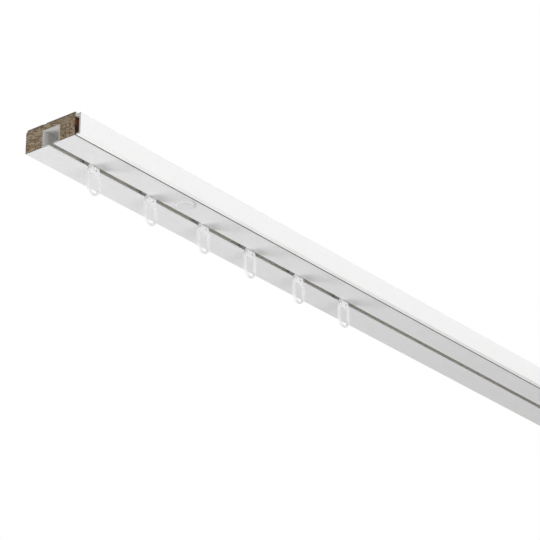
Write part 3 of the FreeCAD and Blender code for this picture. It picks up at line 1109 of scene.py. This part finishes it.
@dataclass
class Roller:
    """One roller: its carrier and wheels on their pin, by its number along the track."""

    position: int
    carrier: Piece
    wheel: Piece

    def axis(self) -> Vector:
        """The middle of the roller's pin."""
        low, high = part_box(f"axle_pin_{self.position}")
        return (low + high) / 2

    def build(self, materials: Materials) -> None:
        """Puts the roller's carrier and wheels on their bodies.

        Args:
            materials: The built finishes.
        """
        number, axis = self.position, self.axis()
        carrier = put_in_place(self.carrier, f"moulded_carrier_{number}", axis)
        dress(carrier, Stock.CARRIER, materials, f"hanger_{number}", f"carrier_{number}")
        for side, turned in (("front", True), ("back", False)):
            wheel = put_in_place(self.wheel, f"moulded_wheel_{side}_{number}", axis, turned)
            body, node = f"{side}_wheel_{number}", f"wheel_{side}_{number}"
            dress(wheel, Stock.WHEEL, materials, body, node)


class End(Enum):
    """The track's two sawn ends, with the way each faces along X."""

    NEAR = -1
    FAR = 1


@dataclass
class SawnEnd:
    """The relief of torn and cut chips on a sawn end of the board.

    Sizes are millimetres. It is a thin closed skin that is seated in the board's end, and it is
    modelled at its own place in Y and Z, with the sawn face at X = 0.
    """

    end: End
    cell: float = 0.36
    proud: float = 0.26
    sunk: float = 0.5
    chip_width: float = 2.0
    chip_height: float = 0.9
    chip_share: float = 0.65
    corner: float = 0.5

    def build(self, materials: Materials) -> None:
        """Models the skin over the board's end and round the channel.

        Args:
            materials: The built finishes.
        """
        skin = self.sheet()
        self.trim(skin)
        self.raise_chips(skin)
        low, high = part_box("chipboard_core")
        seat = low.x if self.end is End.NEAR else high.x
        piece = put_in_place(skin, f"sawn_chips_{self.end.name.lower()}", Vector((seat, 0, 0)))
        bpy.data.objects.remove(skin)
        dress(piece, Stock.CHIPBOARD, materials, "track")

    def sheet(self) -> Piece:
        """Adds a fine flat grid as large as the board's end, facing outwards."""
        low, high = (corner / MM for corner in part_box("chipboard_core"))
        width, height = high.y - low.y, high.z - low.z
        bpy.ops.object.select_all(action="DESELECT")
        bpy.ops.mesh.primitive_grid_add(
            x_subdivisions=round(height / self.cell),
            y_subdivisions=round(width / self.cell),
            size=1,
            location=(0, (low.y + high.y) / 2, (low.z + high.z) / 2),
            rotation=(0, self.end.value * math.radians(90), 0),
        )
        # The operator leaves a grid one unit wide, whatever scale it is given
        bpy.context.object.scale = (height, width, 1)
        return start_mesh("skin")

    def trim(self, skin: Piece) -> None:
        """Cuts the channel's groove and the board's back corners out of the sheet."""
        channel_low, channel_high = (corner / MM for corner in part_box("running_channel"))
        board_low, board_high = (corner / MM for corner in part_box("chipboard_core"))
        chamfer_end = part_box("top_backing")[1].y / MM
        foil_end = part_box("foil_back_wrap")[1].z / MM
        fall, run = board_high.z - foil_end, board_high.y - chamfer_end
        choose(skin)
        bpy.ops.object.mode_set(mode="EDIT")
        for place, normal, clear in (
            ((0, channel_low.y, 0), (0, 1, 0), False),
            ((0, channel_high.y, 0), (0, 1, 0), False),
            ((0, 0, channel_high.z), (0, 0, 1), False),
            ((0, chamfer_end, board_high.z), (0, fall, run), True),
            ((0, board_high.y, board_low.z + self.corner / 2), (0, 1, -1), True),
        ):
            bpy.ops.mesh.select_all(action="SELECT")
            bpy.ops.mesh.bisect(plane_co=place, plane_no=normal, clear_outer=clear)
        pick_faces(
            skin,
            lambda centre, normal: channel_low.y < centre.y < channel_high.y
            and centre.z < channel_high.z,
        )
        bpy.ops.mesh.delete(type="FACE")
        bpy.ops.object.mode_set(mode="OBJECT")

    def raise_chips(self, skin: Piece) -> None:
        """Raises the chips, which lie flat and so are wider than high, and closes the skin."""
        stretch = self.chip_width / self.chip_height
        edit_all(skin)
        bpy.ops.transform.resize(value=(1, 1 / stretch, 1), center_override=(0, 0, 0))
        bpy.ops.object.mode_set(mode="OBJECT")
        chips = bpy.data.textures.new("chips", "VORONOI")
        chips.noise_scale = self.chip_height
        chips.color_mode = "POSITION"
        rubble = bpy.data.textures.new("rubble", "CLOUDS")
        rubble.noise_scale = self.chip_height / 2
        rubble.noise_depth = 3
        for texture, share in ((chips, self.chip_share), (rubble, 1 - self.chip_share)):
            strength = self.end.value * self.proud * share
            settings = {"texture": texture, "direction": "X", "mid_level": 0.0}
            apply_modifier(skin, "DISPLACE", {**settings, "strength": strength})
        edit_all(skin)
        bpy.ops.transform.resize(value=(1, stretch, 1), center_override=(0, 0, 0))
        extrude((-self.end.value * self.sunk, 0, 0))
        bpy.ops.mesh.select_all(action="SELECT")
        bpy.ops.mesh.normals_make_consistent(inside=False)
        bpy.ops.object.mode_set(mode="OBJECT")
        bpy.ops.object.shade_smooth_by_angle(angle=math.radians(30))


@dataclass
class Track:
    """The whole track: the board and its plastics, with the pieces modelled over them."""

    rollers: int = 6
    caps: tuple[str, ...] = ("near", "middle", "far")

    def build(self, materials: Materials) -> None:
        """Dresses the solids and builds the pieces.

        Args:
            materials: The built finishes.
        """
        self.dress_solids(materials)
        for end in End:
            SawnEnd(end).build(materials)
        self.fit_caps(materials)
        self.fit_rollers(materials)

    def dress_solids(self, materials: Materials) -> None:
        """Gives every solid the finish that the record names for it."""
        for subpart in frame["record"]["subparts"]:
            stock = Stock(subpart["material_slot"])
            node = frame["nodes"][subpart["node"]]
            for slot in node.material_slots:
                slot.material = materials[stock]
            LOG.info("%s: %s", subpart["node"], materials[stock].name)

    def fit_caps(self, materials: Materials) -> None:
        """Copies the cover cap to each screw hole."""
        master = CoverCap().model()
        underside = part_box("foil_front_strip")[0].z
        for place in self.caps:
            low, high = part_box("cover_cap_" + place)
            seat = Vector(((low.x + high.x) / 2, (low.y + high.y) / 2, underside))
            cap = put_in_place(master, "moulded_cap_" + place, seat)
            dress(cap, Stock.CAP, materials, "track", "cover_cap_" + place)
        bpy.data.objects.remove(master)

    def fit_rollers(self, materials: Materials) -> None:
        """Copies the carrier and the wheel to each roller."""
        carrier, wheel = Carrier().model(), Wheel().model()
        for position in range(1, self.rollers + 1):
            Roller(position, carrier, wheel).build(materials)
        for master in (carrier, wheel):
            bpy.data.objects.remove(master)


@dataclass(frozen=True)
class Viewpoint:
    """The photograph's camera: its place in millimetres, and its angles in degrees.

    The heading turns from +Y towards +X. The lens suits Blender's sensor of 36 mm. It sees as far
    as its reach in metres.
    """

    place: tuple[float, float, float] = (-1721.7, -1076.1, -836.0)
    heading: float = 51.641
    pitch: float = 25.107
    roll: float = -0.106
    lens: float = 173.61
    reach: float = 50.0

    def build(self) -> None:
        """Places the camera and makes it the scene's."""
        data = bpy.data.cameras.new("camera")
        data.lens = self.lens
        data.clip_end = self.reach
        camera = bpy.data.objects.new("camera", data)
        bpy.context.scene.collection.objects.link(camera)
        turn = (
            Matrix.Rotation(-math.radians(self.heading), 4, "Z")
            @ Matrix.Rotation(math.radians(90 + self.pitch), 4, "X")
            @ Matrix.Rotation(math.radians(self.roll), 4, "Z")
        )
        camera.matrix_world = Matrix.Translation(Vector(self.place) * MM) @ turn
        bpy.context.scene.camera = camera


@dataclass(frozen=True)
class Softbox:
    """A square lamp that shines at one spot, in metres and watts."""

    name: str
    place: tuple[float, float, float]
    aim: tuple[float, float, float]
    side: float
    power: float

    def build(self) -> None:
        """Hangs the lamp."""
        data = bpy.data.lights.new(self.name, "AREA")
        data.size = self.side
        data.energy = self.power
        lamp = bpy.data.objects.new(self.name, data)
        bpy.context.scene.collection.objects.link(lamp)
        way = Vector(self.aim) - Vector(self.place)
        turn = way.to_track_quat("-Z", "Y").to_matrix().to_4x4()
        lamp.matrix_world = Matrix.Translation(self.place) @ turn


@dataclass(frozen=True)
class Studio:
    """Plain soft light, a pale floor below and a white surround."""

    floor_level: float = -1.5
    floor_side: float = 14.0
    ambient: float = 0.505
    key: Softbox = Softbox("key_softbox", (-1.05, 0.75, -0.62), (-0.4, 0.0, -0.02), 0.5, 9.2)
    fill: Softbox = Softbox("fill_softbox", (-0.8, -3.4, -0.84), (0.0, 0.0, 0.0), 2.3, 76.5)

    def build(self) -> None:
        """Lays the floor, hangs the lamps and sets the surround."""
        bpy.ops.object.select_all(action="DESELECT")
        bpy.ops.mesh.primitive_plane_add(size=self.floor_side, location=(0, 0, self.floor_level))
        floor = start_mesh("floor")
        floor.data.materials.append(PaleFloor("studio_floor_matt", "#ececea", 0.9).material())
        self.key.build()
        self.fill.build()
        self.surround()
        bpy.context.scene.view_settings.view_transform = "Standard"

    def surround(self) -> None:
        """Lights the scene evenly, and shows white to the eye, in gloss and through glass."""
        world = bpy.data.worlds.new("surround")
        bpy.context.scene.world = world
        world.use_nodes = True
        tree = world.node_tree
        tree.nodes.clear()
        rays = add_node(tree, "ShaderNodeLightPath")
        seen = rays.outputs["Is Camera Ray"]
        for kind in ("Is Glossy Ray", "Is Transmission Ray"):
            either = add_node(
                tree, "ShaderNodeMath", {"operation": "MAXIMUM"}, {0: seen, 1: rays.outputs[kind]}
            )
            seen = either.outputs["Value"]
        light = add_node(tree, "ShaderNodeBackground", {"Strength": self.ambient})
        white = add_node(tree, "ShaderNodeBackground", {"Strength": 1.0})
        for background in (light, white):
            background.inputs["Color"].default_value = linear("#ffffff")
        shades = {1: light.outputs["Background"], 2: white.outputs["Background"]}
        mix = add_node(tree, "ShaderNodeMixShader", links={0: seen, **shades})
        add_node(tree, "ShaderNodeOutputWorld", links={"Surface": mix.outputs["Shader"]})


def main() -> None:
    """Builds the finishes, the track, the camera and the studio."""
    logging.basicConfig(level=logging.INFO, format="%(message)s")
    materials = {stock: finish.material() for stock, finish in FINISHES.items()}
    Track().build(materials)
    Viewpoint().build()
    Studio().build()


if __name__ == "__main__":
    main()
